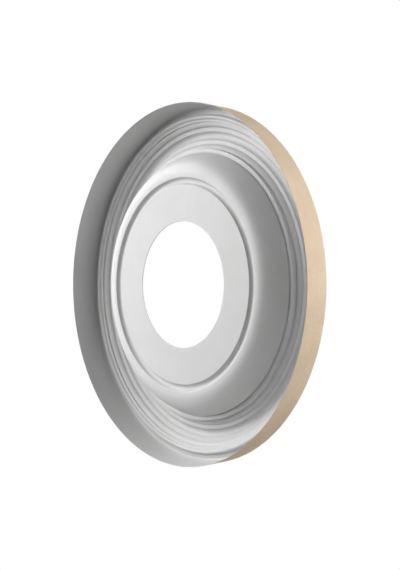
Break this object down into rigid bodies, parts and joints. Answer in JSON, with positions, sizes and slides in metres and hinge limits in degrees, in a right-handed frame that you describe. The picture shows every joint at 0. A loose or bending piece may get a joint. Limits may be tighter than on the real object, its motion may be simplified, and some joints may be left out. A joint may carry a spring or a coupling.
{
  "type": "ceiling rose",
  "caption": "Round ceiling rose moulded in rigid foam: a raised flat centre round a wide hole, a big ovolo, stepped mouldings in a valley and a high rim.",
  "frame": {"origin": "centre of the flat back, on the rose's axis", "axes": "+Y is the rose's axis and points out of its flat back into what it is fixed to; the face looks along -Y; +Z is up in the picture's pose. On a ceiling the part is turned by +90 degrees about X, so that +Y points up."},
  "size_m": [0.6, 0.0685, 0.6],
  "materials": {
    "primed_foam": "satin-matt white primer on the moulded face; bare cream foam on the outer wall and the back"
  },
  "bodies": {
    "root": {"rose": "primed_foam"}
  },
  "joints": []
}
